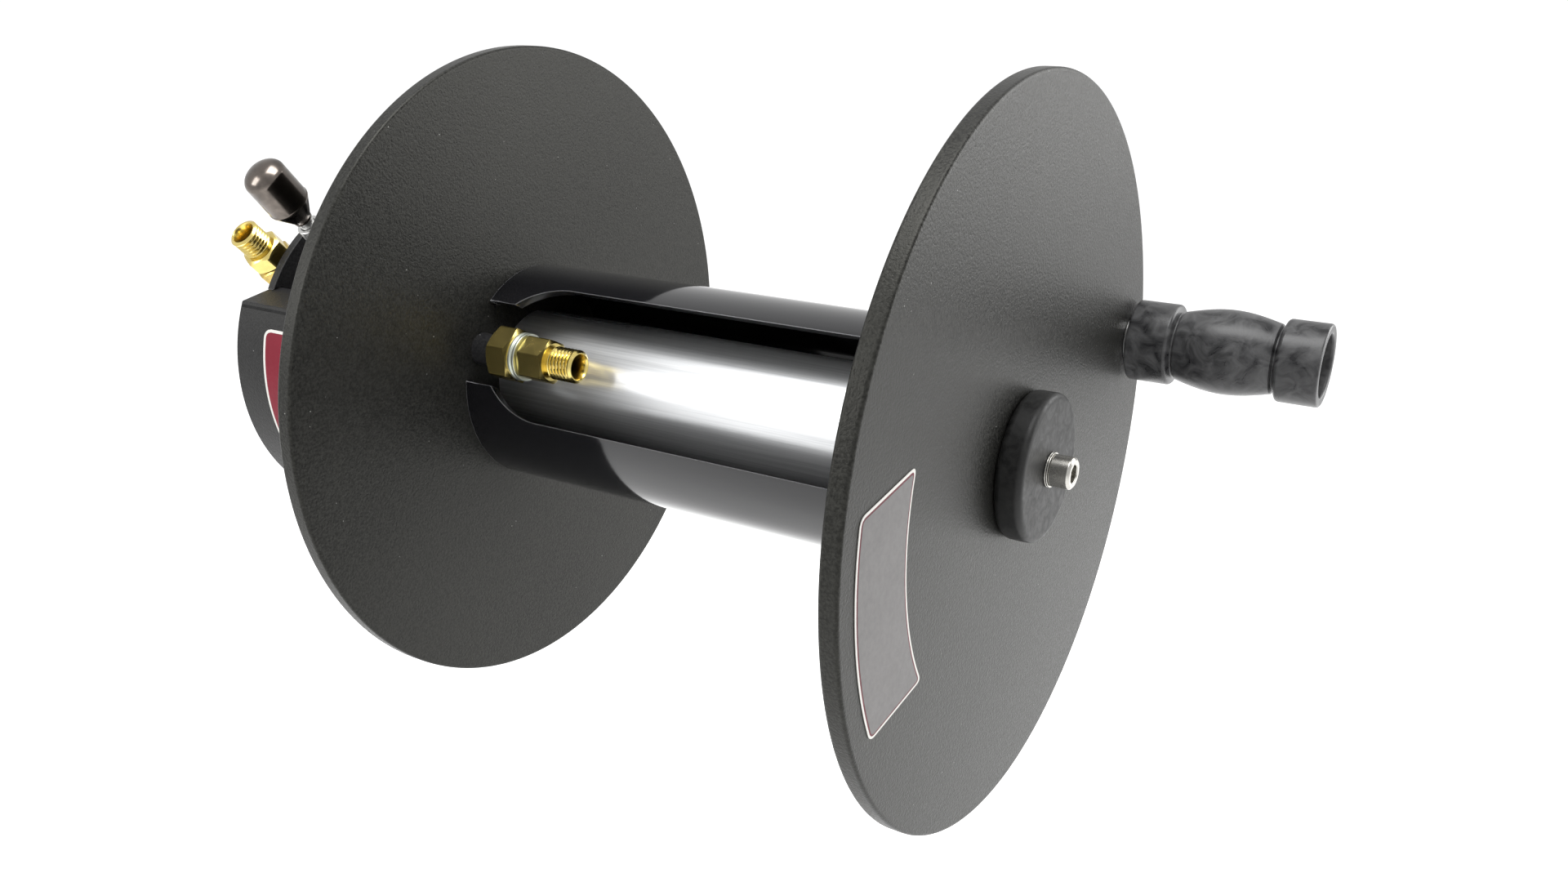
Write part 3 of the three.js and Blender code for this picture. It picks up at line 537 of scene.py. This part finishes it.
# Near-black and matte: painted shadow for the lines under the housing's lips.
PAINTED_SHADOW_BLACK = moulded_plastic("painted_shadow_line", (0.001, 0.001, 0.001), (0.003, 0.003, 0.003), 0.7, 200)
LABEL_WHITE = printed_film("label_white", (0.56, 0.55, 0.52), (0.48, 0.47, 0.45))
LABEL_RED = printed_film("label_red", (0.16, 0.002, 0.014), (0.11, 0.002, 0.010))
LABEL_SILVER = printed_film("label_silver", (0.125, 0.12, 0.118), (0.10, 0.098, 0.096))
LABEL_DARK = printed_film("label_dark", (0.10, 0.012, 0.02), (0.07, 0.01, 0.016))

# ---------------------------------------------------------------- reel


def disc(node):
    """A disc with a rounded rim."""
    start, end = span(node)
    rim = radius_of(node)
    soft = (end - start) * 0.2
    profile = [(start, 0), (start, rim * 0.9), (start, rim), (end, rim), (end, rim * 0.9), (end, 0)]
    rounded = soften(profile, soft, closed=False, steps=6)
    shape = spun(lambda angle: rounded, 240, closed=False)
    piece(node + "_coated", shape, DISC_COAT, "drum", [node])


def slot_outline(start, end):
    """The slot's edge as (x, across) points in four stretches: out from the neck, along one side,
    round the front end and back down the other side. It opens on the rear disc through the neck."""
    rear = start + SLOT_SETBACK + SLOT_HALF_WIDTH
    front = end - SLOT_SETBACK - SLOT_HALF_WIDTH
    neck = asin(NECK_HALF_WIDTH / SLOT_HALF_WIDTH)
    corner = rear - SLOT_HALF_WIDTH * cos(neck)
    near = [(start + (corner - start) * i / 6, -NECK_HALF_WIDTH) for i in range(6)]
    near += arc(SLOT_HALF_WIDTH, pi + neck, 1.5 * pi, 14, (rear, 0))
    side = [(rear + (front - rear) * i / 40, -SLOT_HALF_WIDTH) for i in range(1, 40)]
    round_end = arc(SLOT_HALF_WIDTH, -pi / 2, pi / 2, 40, (front, 0))
    way_back = [(x, -across) for x, across in reversed(near + side)]
    return near, side, round_end, way_back


def pushed(across, amount):
    """A distance from the slot's middle line made greater by an amount, on either side of it."""
    if across == 0:
        return across
    return across + amount if across > 0 else across - amount


def slotted_tube(start, end, outer, inner):
    """A tube with a slot cut straight through one side, its cut edges slightly rounded."""
    near, side, round_end, way_back = slot_outline(start, end)
    edge = near + side + round_end + way_back
    neck_turn = asin(NECK_HALF_WIDTH / outer)

    # Each point of the slot's edge is joined to a point of the tube's far side, opposite the slot.
    far = []
    for i in range(len(near)):
        far.append((start, -neck_turn - (pi - neck_turn) * i / (len(near) - 1)))
    for i in range(len(side)):
        far.append((start + (end - start) * (i + 1) / (len(side) + 1), -pi))
    for i in range(len(round_end)):
        far.append((end, -pi + tau * i / (len(round_end) - 1)))
    far += [(x, -turn) for x, turn in reversed(far[: len(near) + len(side)])]

    def on_tube(x, turn, radius):
        return (x, *polar(radius, SLOT_ANGLE + turn))

    def wall(radius, shares):
        """Rows of points at shares of the way from the slot's edge to the far side."""
        made = []
        for share in shares:
            row = []
            for (x, across), (far_x, far_turn) in zip(edge, far):
                turn = asin(across / radius)
                row.append(on_tube(x + (far_x - x) * share, turn + (far_turn - turn) * share, radius))
            made.append(row)
        return made

    def cut(setback, radius):
        """One row along the slot's edge, set back from the slot's middle line."""
        return [on_tube(x, asin(pushed(across, setback) / radius), radius) for x, across in edge]

    steps = 44
    # Three rows round each corner of the cut, by how far each is set back and sunk.
    shares = ((1, 0), (0.3, 0.3), (0, 1))
    rounding = [(back * SLOT_ROUNDING, down * SLOT_ROUNDING) for back, down in shares]
    rows = wall(outer, [1 - k / steps for k in range(steps)])
    rows += [cut(setback, outer - sunk) for setback, sunk in rounding]
    rows += [cut(setback, inner + sunk) for setback, sunk in reversed(rounding)]
    rows += wall(inner, [k / steps for k in range(1, steps + 1)])

    count = len(edge)
    points = [point for row in rows for point in row]
    faces = []
    for r in range(len(rows) - 1):
        for i in range(count - 1):
            a, b = r * count + i, (r + 1) * count + i
            faces.append((a, a + 1, b + 1, b))

    # The tube's two flat ends lie between the first row, outside, and the last row, inside.
    last = (len(rows) - 1) * count
    for i in range(count - 1):
        if far[i][0] == far[i + 1][0]:
            faces.append((i, i + 1, last + i + 1, last + i))
    return points, faces


def reel():
    """The two discs, the slotted drum between them and the hub's tube inside it."""
    disc("rear_disc")
    disc("front_disc")
    start, end = span("drum_tube")
    outer = radius_of("drum_tube")
    tube = slotted_tube(start, end, outer, outer - DRUM_WALL)
    piece("drum", tube, GLOSS_BLACK, "drum", ["drum_tube"])
    hub_radius = radius_of("hub_tube")
    hub = ring(start, end, hub_radius, hub_radius - HUB_WALL, 0.3, 144)
    piece("hub", hub, ALUMINIUM, "drum", ["hub_tube"])


def fitting(hex_start, hex_end, mouth, groove, taper, chamfer, drop):
    """A hexagon and a threaded spigot with a coned mouth. A groove and a taper lead to the thread,
    and a chamfer, which comes down by drop, ends it."""
    body = hexagon(hex_start, hex_end, FITTING_FLATS, WATERWAY, 0.9)
    groove_end = hex_end + groove
    taper_end = groove_end + taper
    before = [
        (hex_end - 2, WATERWAY),
        (hex_end - 2, FITTING_GROOVE),
        (groove_end, FITTING_GROOVE),
        (taper_end, FITTING_GROOVE + 0.5),
    ]
    after = [
        (mouth - chamfer, THREAD_RADIUS - 0.25),
        (mouth, THREAD_RADIUS - drop),
        (mouth, FITTING_MOUTH),
        (mouth - 0.4, FITTING_MOUTH - 0.4),
        (mouth - 4.5, WATERWAY),
    ]
    return joined(body, threaded(before, taper_end + 0.2, mouth - chamfer - 0.1, after))


def outlet():
    """The brass line inside the slot, from the rear disc to its open mouth."""
    y, z = polar(OUTLET_OFFSET, OUTLET_ANGLE)

    def put(name, shape, material, slot, node):
        turned = moved(shape, Matrix.Rotation(OUTLET_ANGLE, 4, "X"))
        piece(name, beside(turned, y, z), material, "drum", [node])

    start, end = span("outlet_coupling")
    coupling = hexagon(start, end, COUPLING_FLATS, THREAD_RADIUS, 1.6)
    put("outlet_hexagon", coupling, BRASS, "brass", "outlet_coupling")

    start, end = span("outlet_washer")
    bore, rim, groove = THREAD_RADIUS + 0.1, 12.2, 11.5
    middle = (start + end) / 2
    washer = [
        (start, bore),
        (start, rim),
        (middle - 0.5, rim),
        (middle - 0.3, groove),
        (middle + 0.3, groove),
        (middle + 0.5, rim),
        (end, rim),
        (end, bore),
    ]
    put("outlet_zinc_washer", lathe(washer, 0.35), ZINC, "zinc", "outlet_washer")

    hex_start = end + 0.1
    hex_end = hex_start + 15.8
    mouth = span("outlet_fitting")[1]
    spigot = fitting(hex_start, hex_end, mouth, groove=1.8, taper=0.8, chamfer=1.1, drop=1.35)
    put("outlet_spigot", spigot, BRASS, "brass", "outlet_fitting")

    start, end = span("manifold_pipe")
    pipe = ring(start, end, THREAD_RADIUS - 0.02, WATERWAY)
    # The pipe gets the black housing coat as painted shade: it sits in the dark shadow of the slot's
    # neck.
    put("outlet_pipe", pipe, HOUSING_COAT, "coated_steel", "manifold_pipe")


def front_end():
    """The plastic cap in front of the drum, with its washer and its screw."""
    start, end = span("end_puck")
    rim = radius_of("end_puck")
    bore = 5.0
    profile = [(start, bore), (start, rim), (end, rim), (end, bore)]
    rounded = soften(profile, 3.4, steps=8)
    puck = spun(lambda angle: rounded, 144)
    piece("end_cap", puck, PUCK_PLASTIC, "drum", ["end_puck"])

    start, end = span("lock_washer")
    middle = (start + end) / 2
    edge, groove = 7.9, 7.5
    washer = [
        (start, bore),
        (start, edge),
        (middle - 0.12, edge),
        (middle, groove),
        (middle + 0.12, edge),
        (end, edge),
        (end, bore),
    ]
    piece("spring_washer", lathe(washer, 0.2), STAINLESS, "drum", ["lock_washer"])

    tail, tip = span("centre_screw")
    screw = socket_screw(tail, end + 0.1, tip, shank=4.7, head=7.25, socket=7.9, depth=4.6)
    piece("cap_screw", screw, STAINLESS, "drum", ["centre_screw"])


def label_outline(inset):
    """The front label's edge, as (y, z): long sides that follow the rim and straight short ends."""
    inner, outer = FRONT_LABEL_INNER + inset, FRONT_LABEL_OUTER - inset
    half = FRONT_LABEL_HALF_LENGTH - inset
    inside, outside = asin(half / inner), asin(half / outer)
    steps = 24
    edge = arc(outer, -outside, outside, steps) + arc(inner, inside, -inside, steps)
    corners = (0, steps, steps + 1, 2 * steps + 1)
    rounded = []
    for i, point in enumerate(edge):
        if i not in corners:
            rounded.append(point)
            continue
        here, back, ahead = Vector(point), Vector(edge[i - 1]), Vector(edge[(i + 1) % len(edge)])
        reach = max(0.5, FRONT_LABEL_CORNER - inset)
        start = here + (back - here).normalized() * reach
        end = here + (ahead - here).normalized() * reach
        rounded += rounded_corner(start, here, end, 6)
    turn = Matrix.Rotation(FRONT_LABEL_TURN, 2)
    return [tuple(turn @ Vector(point)) for point in rounded]


def front_label():
    """The label on the front disc: a pale border, a dark line and a plain panel, with no print."""
    start, end = span("front_label")
    backing = plate([label_outline(0)], start, end, 0.05)
    piece("label_border", backing, LABEL_WHITE, "drum", ["front_label"])
    line = plate([label_outline(1.1)], end - 0.05, end + 0.06, 0.02)
    piece("label_line", line, LABEL_DARK, "drum")
    panel = plate([label_outline(1.9)], end, end + 0.12, 0.02)
    piece("label_panel", panel, LABEL_SILVER, "drum")


# ---------------------------------------------------------------- crank handle


def crank_handle():
    """The grip, with a collar at each end and a barrel between two necks, and what holds it."""
    face = span("front_disc")[1]
    start, end = span("grip_handle")[0], span("grip_end_collar")[1]
    collar, neck, mouth, bore = 20.6, 16.2, 15.6, 8.0
    barrel_start, barrel_end = face + 27, face + 73.5
    barrel, bulge = 17.5, 3.8
    swell = []
    steps = 28
    for i in range(steps + 1):
        t = i / steps
        swell.append((barrel_start + t * (barrel_end - barrel_start), barrel + bulge * sin(pi * t)))
    foot = [(start, bore), (start, collar), (barrel_start - 3, collar), (barrel_start - 1.8, neck)]
    tip = [(barrel_end + 1.8, neck), (barrel_end + 3, collar), (end, collar), (end, mouth)]
    floor = face + 77.4
    inside = [(floor, mouth), (floor, bore)]
    profile = soften([*foot, (barrel_start - 0.6, neck)], 1.5)[:-5] + swell
    profile += soften([(barrel_end + 0.6, neck), *tip, *inside], 1.5)
    shape = spun(lambda angle: profile, 144)
    stands_for = ["grip_handle", "grip_end_collar"]
    piece("grip", beside(shape, GRIP_Y, GRIP_Z), GRIP_PLASTIC, "grip", stands_for)

    tail, tip_x = span("grip_bolt")
    bolt = socket_screw(tail, tip_x - 6, tip_x, shank=5.0, head=10.5, socket=8.0, depth=4.0)
    piece("crank_bolt", beside(bolt, GRIP_Y, GRIP_Z), STEEL, "drum", ["grip_bolt"])

    nut_start, nut_end = span("grip_nut")
    nut_flats, nut_bore = 17, 5.0
    nut = hexagon(nut_start, nut_end, nut_flats, nut_bore, 0.6)
    piece("crank_nut", beside(nut, GRIP_Y, GRIP_Z), STEEL, "drum", ["grip_nut"])

    flat_start, flat_end = span("grip_washer")
    flat_radius, flat_bore = 12, 5.1
    flat = ring(flat_start, flat_end, flat_radius, flat_bore, 0.3)
    piece("crank_washer", beside(flat, GRIP_Y, GRIP_Z), STEEL, "drum", ["grip_washer"])


# ---------------------------------------------------------------- housing


def lip(clearance=0.0):
    """The +Y lip's points as (y, z): where it leaves the band, its tip, and the tip's underside.
    A clearance makes it that much larger all round."""
    y, z = polar(BAND_RADIUS, CORNER)
    along = Vector((-cos(LIP_SLOPE), sin(LIP_SLOPE)))
    up = Vector((sin(LIP_SLOPE), cos(LIP_SLOPE)))
    top = Vector((y, z)) + up * clearance
    tip = top + along * (LIP_WIDTH + clearance)
    under = tip - up * (BAND_WALL + 2 * clearance)
    return top, tip, under


def mirrored(points):
    """The same outline on the -Y side, in the order that carries on round the object."""
    return [(-y, z) for y, z in reversed(points)]


def band_outline():
    """The band's edge: the +Y lip, the outside round to the -Y lip, and the inside back again."""
    trim, bend = radians(2), radians(0.8)
    outside = arc(BAND_RADIUS, CORNER - bend, bend - pi - CORNER, 150)
    inside = arc(BAND_RADIUS - BAND_WALL, trim - pi - CORNER, CORNER - trim, 150)
    top, tip, under = (tuple(point) for point in lip())
    fold = soften([inside[-1], under, tip, top, outside[0]], 2.2, closed=False, steps=6)
    return fold[:-1] + outside[:-1] + mirrored(fold)[:-1] + inside[:-1]


def back_plate_outline():
    """A disc inside the band and a smaller one above it, notched round the two lips."""
    top, tip, under = lip(0.3)
    outward = (top - tip).normalized()
    along = tip.dot(outward)
    meet = tip + outward * (sqrt(along**2 - tip.length_squared + PLATE_TOP_RADIUS**2) - along)
    rise = acos(meet.x / PLATE_TOP_RADIUS)
    trim = radians(3.5)
    low = arc(BAND_RADIUS - BAND_WALL - 0.6, CORNER - trim, trim - pi - CORNER, 150)
    notch = [tuple(meet), tuple(tip), tuple(under)]
    return low + mirrored(notch) + arc(PLATE_TOP_RADIUS, pi - rise, rise, 90)[1:-1] + notch


def circle(radius, centre=(0, 0), steps=72):
    return arc(radius, 0, tau, steps, centre)[:-1]


def curved_label(start, end, inset, lift):
    """A sticker bent round the band's -Y side, with rounded corners."""
    low, high = HOUSING_LABEL_START, HOUSING_LABEL_END
    corner = HOUSING_LABEL_CORNER - inset
    gap, thickness = 0.08, 0.3
    inner = BAND_RADIUS + gap
    outer = inner + thickness + lift
    first = low + inset / BAND_RADIUS
    sweep = high - low - 2 * inset / BAND_RADIUS

    def profile_at(angle):
        near = min(angle - first, first + sweep - angle) * BAND_RADIUS
        gone = corner - min(corner, max(0, near))
        pull = corner - sqrt(corner**2 - gone**2)
        low_x, high_x = start + inset + pull, end - inset - pull
        return [(low_x, inner), (low_x, outer), (high_x, outer), (high_x, inner)]

    return spun(profile_at, 160, first, sweep)


def housing():
    """The band with a painted shadow line under each lip, the back plate, the web that carries the
    sleeve, and the label.
    """

    def put(name, shape, node, material=HOUSING_COAT, slot="coated_steel"):
        piece(name, shape, material, "mount", [node])

    start, end = span("housing_band")
    put("band", plate([band_outline()], start, end, 0.7), "housing_band")

    # A near-black strip along the outside, just under each lip: a painted shadow line where the band
    # turns into its lip.
    width, below_lip = radians(0.9), radians(1.0)
    shadow_line_start, shadow_line_end = start + 1.2, end - 1.2
    sunk, proud = BAND_RADIUS - 0.6, BAND_RADIUS + 0.06
    shadow_strip = [(shadow_line_start, sunk), (shadow_line_start, proud), (shadow_line_end, proud), (shadow_line_end, sunk)]
    right, left = CORNER - below_lip - width, pi - CORNER + below_lip
    for name, first in (("painted_shadow_line_right", right), ("painted_shadow_line_left", left)):
        strip = spun(lambda angle: shadow_strip, 4, first, width)
        piece(name, strip, PAINTED_SHADOW_BLACK, "mount")

    places = [polar(PLATE_BOLT_CIRCLE, radians(turn)) for turn in PLATE_BOLT_TURNS]
    bolt_holes = [circle(PLATE_BOLT_HOLE, place, 32) for place in places]
    outlines = [back_plate_outline(), circle(PLATE_BORE), *bolt_holes]
    put("wall_plate", plate(outlines, *span("back_plate"), 0.6), "back_plate")

    web = arc(BAND_RADIUS - BAND_WALL - 0.3, WEB_START, WEB_END, 90)
    web += arc(radius_of("bearing_sleeve"), WEB_END, WEB_START, 60)
    put("web", plate([web], *span("support_web"), 0.4), "support_web")

    start, end = span("housing_label")
    border = curved_label(start, end, 0, 0)
    put("housing_label_border", border, "housing_label", LABEL_WHITE, "red_label")
    panel = curved_label(start, end, 1.6, 0.06)
    piece("housing_label_panel", panel, LABEL_RED, "mount")


def brake():
    """The brake's rod, guide and knob. Lengths along the rod are from the reel's axis."""

    def put(name, shape, material, slot, body, node):
        piece(name, radial(shape, BRAKE_X, BRAKE_ANGLE), material, body, [node])

    guide_start, guide_end, guide_radius, guide_bore = 38.3, 105.8, 6.35, 4.3
    guide = ring(guide_start, guide_end, guide_radius, guide_bore)
    put("brake_tube", guide, STEEL, "steel", "mount", "brake_guide")

    rod_start, rod_end, rod_radius = 25.5, 123.4, 4.0
    rod = ring(rod_start, rod_end, rod_radius)
    put("brake_rod", rod, STEEL, "steel", "brake_knob", "brake_screw")

    foot, cone_end, tip, knob = 109.4, 121.8, 147.6, 11.3
    dome = 6.5
    stem = [(foot, 0), (foot, 4.9), (foot + 1.1, 5.1), (foot + 1.5, 5.0), (cone_end, knob)]
    rim = [(cone_end + 0.9, knob + 0.2), (cone_end + 1.4, knob - 0.1), (tip - dome, knob - 0.1)]
    profile = soften(stem + rim, 0.4, closed=False)
    for i in range(1, 17):
        turn = i / 16 * pi / 2
        profile.append((tip - dome + dome * sin(turn), (knob - 0.1) * cos(turn)))
    profile[-1] = (tip, 0)
    shape = spun(lambda angle: profile, 120, closed=False)
    put("knob", shape, KNOB_STEEL_PAINTED_DARK, "polished_steel", "brake_knob", "brake_knob")


# ---------------------------------------------------------------- axle and waterway


def axle():
    """The axle, the arm that carries water to the outlet, and the bolts that hold the hub."""
    tail, end = span("axle")
    flange, main, thin = radius_of("axle"), 15, 9
    flange_start = end - 8
    shoulder = -2
    profile = [
        (tail, 0),
        (tail, thin),
        (shoulder, thin),
        (shoulder, main),
        (flange_start, main),
        (flange_start, flange),
        (end, flange),
        (end, 0),
    ]
    piece("shaft", lathe(profile, 0.7, 120), STEEL, "drum", ["axle"])

    start, end = span("manifold_arm")
    eye_radius, collar_radius = 12, 24
    eye = arc(eye_radius, -pi / 2, pi / 2, 30, (OUTLET_OFFSET, 0))
    collar = arc(collar_radius, pi / 6, tau - pi / 6, 72)
    turn = Matrix.Rotation(OUTLET_ANGLE, 2)
    outline = [tuple(turn @ Vector(point)) for point in eye + collar]
    arm = plate([outline], start, end, 1.0)
    piece("water_arm", arm, STEEL, "drum", ["manifold_arm"])

    for i in range(4):
        node = f"hub_bolt_{i + 1}"
        head, tip = span(node)
        screw = socket_screw(-tip, -head - 6, -head, shank=3, head=5, socket=5.0, depth=3)
        place = polar(HUB_BOLT_CIRCLE, radians(45 + 90 * i))
        back = moved(screw, Matrix.Rotation(pi, 4, "Z"))
        piece(f"hub_screw_{i + 1}", beside(back, *place), STEEL, "drum", [node])


def inlet():
    """The swivel on the axle's tail and the brass line out of it. Lengths along the line are from
    the reel's axis."""

    def put(name, shape, material, node):
        piece(name, radial(shape, INLET_X, INLET_ANGLE), material, "inlet", [node])

    half_length, radius, bore = 11.6, 19, 9.2
    block = ring(INLET_X - half_length, INLET_X + half_length, radius, bore, 1.0, 120)
    boss_start, boss_end, boss_radius = 12, 30, 12
    boss = ring(boss_start, boss_end, boss_radius, THREAD_RADIUS + 0.1, 0.9)
    boss = radial(boss, INLET_X, INLET_ANGLE)
    piece("swivel", joined(block, boss), BRASS, "inlet", ["swivel_body"])

    pipe_start, pipe_end = 15.2, 64
    pipe = ring(pipe_start, pipe_end, THREAD_RADIUS - 0.02, WATERWAY)
    put("swivel_pipe", pipe, BRASS, "inlet_pipe")

    nut_start, nut_end, nut_flats = 56, 77.4, 22.2
    nut = hexagon(nut_start, nut_end, nut_flats, THREAD_RADIUS, 1.0)
    put("inlet_hexagon", nut, SHADED_BRASS, "inlet_nut")

    hex_start, hex_end, mouth = 77.8, 87.6, 101.3
    spigot = fitting(hex_start, hex_end, mouth, groove=1.2, taper=0.6, chamfer=0.9, drop=1.3)
    put("inlet_spigot", spigot, BRASS, "inlet_fitting")


def small_cad_pieces():
    """Pieces inside the reel that keep their CAD shape and get a finished material."""
    looks = {
        HOUSING_COAT: ("bearing_sleeve",),
        BRONZE: ("rear_bush", "front_bush", "grip_sleeve"),
        STEEL: ("hub_rear_plug", "hub_front_plug", "axle_ring", "swivel_ring"),
        RUBBER: ("swivel_seal_1", "swivel_seal_2", "brake_pad"),
    }
    for material, names in looks.items():
        for name in names:
            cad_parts[name].material_slots[0].material = material


# ---------------------------------------------------------------- camera, floor and lights


def aimed(name, data, place, target):
    """A camera or light at a place, looking at a target."""
    made = bpy.data.objects.new(name, data)
    bpy.context.scene.collection.objects.link(made)
    made.location = place
    made.rotation_euler = (Vector(target) - Vector(place)).to_track_quat("-Z", "Y").to_euler()
    return made


def camera():
    place = Vector((0.6029, -0.5366, 0.2058))
    azimuth, elevation = radians(32.56), radians(20.97)
    ahead = Vector((-sin(azimuth) * cos(elevation), cos(azimuth) * cos(elevation), -sin(elevation)))
    data = bpy.data.cameras.new("camera")
    data.sensor_width = 36
    data.lens = 30.906
    data.shift_x = 0.0252
    data.shift_y = 0.0256
    data.clip_start = 0.01
    bpy.context.scene.camera = aimed("camera", data, place, place + ahead)


def softbox(name, place, target, width, height, power):
    data = bpy.data.lights.new(name, "AREA")
    data.shape = "RECTANGLE"
    data.size = width
    data.size_y = height
    data.energy = power
    aimed(name, data, place, target)


def studio():
    """White surroundings, a pale floor under the reel and three soft lights."""
    bpy.context.scene.view_settings.view_transform = "Standard"
    world = bpy.data.worlds.new("studio")
    bpy.context.scene.world = world
    world.use_nodes = True
    background = world.node_tree.nodes["Background"]
    background.inputs["Color"].default_value = (1, 1, 1, 1)
    background.inputs["Strength"].default_value = 0.9

    look = Look("pale_floor", Roughness=1.0, Emission_Color=(1, 1, 1, 1), Emission_Strength=0.24)
    look.colour(look.ramp(look.noise(3, 2), (0.3, (0.88, 0.88, 0.88)), (0.7, (0.90, 0.90, 0.90))))
    bpy.ops.mesh.primitive_plane_add(size=80, location=(0.2, 0, -0.42))
    floor = bpy.context.active_object
    floor.name = "floor"
    floor.data.materials.append(look.material)

    middle = (0.25, 0, 0)
    softbox("overhead", (0.3, -0.2, 1.4), middle, 1.2, 0.7, 26)
    softbox("beside_crank", (1.2, 1.0, 0.4), middle, 0.9, 1.0, 15)
    softbox("left", (-0.8, -1.3, 0.8), middle, 0.6, 0.8, 13)


reel()
outlet()
front_end()
front_label()
crank_handle()
housing()
brake()
axle()
inlet()
small_cad_pieces()
camera()
studio()
